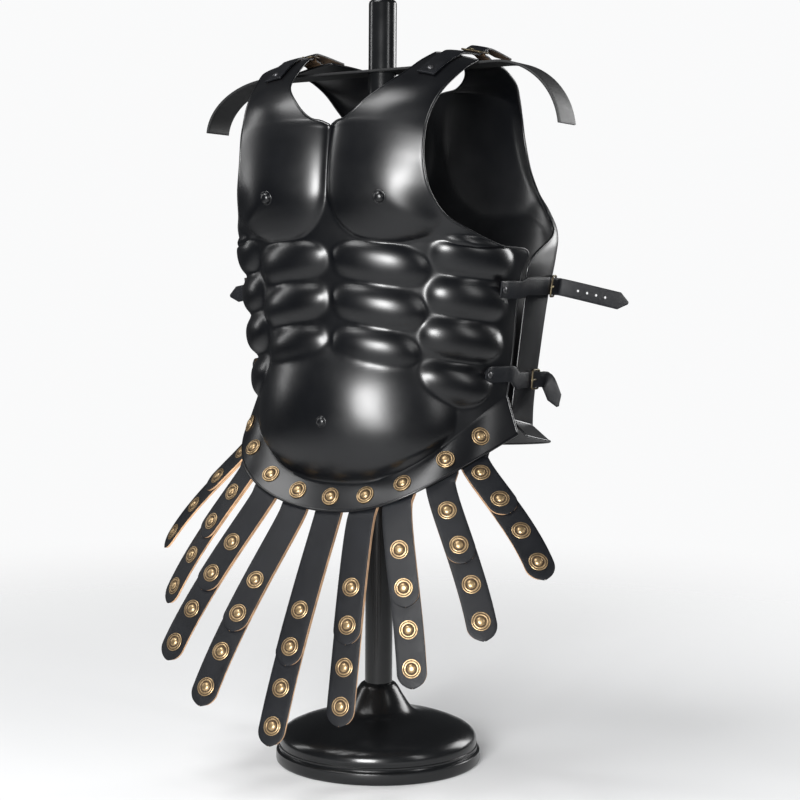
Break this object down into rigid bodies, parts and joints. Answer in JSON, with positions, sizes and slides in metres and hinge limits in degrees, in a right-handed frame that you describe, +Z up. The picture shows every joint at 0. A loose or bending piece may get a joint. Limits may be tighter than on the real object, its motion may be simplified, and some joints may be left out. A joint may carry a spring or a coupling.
{
  "type": "steel breastplate and backplate set on a plain display stand",
  "caption": "Black steel muscle breastplate and backplate with leather straps and a skirt of studded strips, worn on the torso, on a plain display stand with a shoulder bar.",
  "frame": {"origin": "centre of the flat underside of the stand's round foot", "axes": "+Z up along the stand's pole, -Y to the front of the armour, +X to the wearer's left"},
  "size_m": [0.5708, 0.4184, 0.935],
  "materials": {
    "black_steel": "satin black paint over polished steel",
    "black_leather": "smooth black leather with tan raw edges",
    "stand_enamel": "gloss black enamel",
    "antique_brass": "antique brass, worn and dark in the hollows"
  },
  "bodies": {
    "root": {"backplate": "black_steel", "breastplate": "black_steel", "flange_rosette_1": "antique_brass", "flange_rosette_2": "antique_brass", "flange_rosette_3": "antique_brass", "flange_rosette_4": "antique_brass", "flange_rosette_5": "antique_brass", "flange_rosette_6": "antique_brass", "flange_rosette_7": "antique_brass", "flange_rosette_8": "antique_brass", "flange_rosette_9": "antique_brass", "left_lower_side_buckle": "antique_brass", "left_lower_side_chape": "black_leather", "left_lower_side_strap": "black_leather", "left_shoulder_buckle": "antique_brass", "left_shoulder_chape": "black_leather", "left_shoulder_strap": "black_leather", "left_upper_side_buckle": "antique_brass", "left_upper_side_chape": "black_leather", "left_upper_side_strap": "black_leather", "long_strip_1": "black_leather", "long_strip_2": "black_leather", "long_strip_3": "black_leather", "long_strip_4": "black_leather", "long_strip_5": "black_leather", "long_strip_6": "black_leather", "long_strip_7": "black_leather", "long_strip_8": "black_leather", "long_strip_9": "black_leather", "right_lower_side_buckle": "antique_brass", "right_lower_side_chape": "black_leather", "right_lower_side_strap": "black_leather", "right_shoulder_buckle": "antique_brass", "right_shoulder_chape": "black_leather", "right_shoulder_strap": "black_leather", "right_upper_side_buckle": "antique_brass", "right_upper_side_chape": "black_leather", "right_upper_side_strap": "black_leather", "short_strip_1": "black_leather", "short_strip_2": "black_leather", "short_strip_3": "black_leather", "short_strip_4": "black_leather", "short_strip_5": "black_leather", "short_strip_6": "black_leather", "short_strip_7": "black_leather", "short_strip_8": "black_leather", "short_strip_9": "black_leather", "stand_base": "stand_enamel", "stand_crossbar": "stand_enamel", "stand_pole": "stand_enamel"}
  },
  "joints": []
}
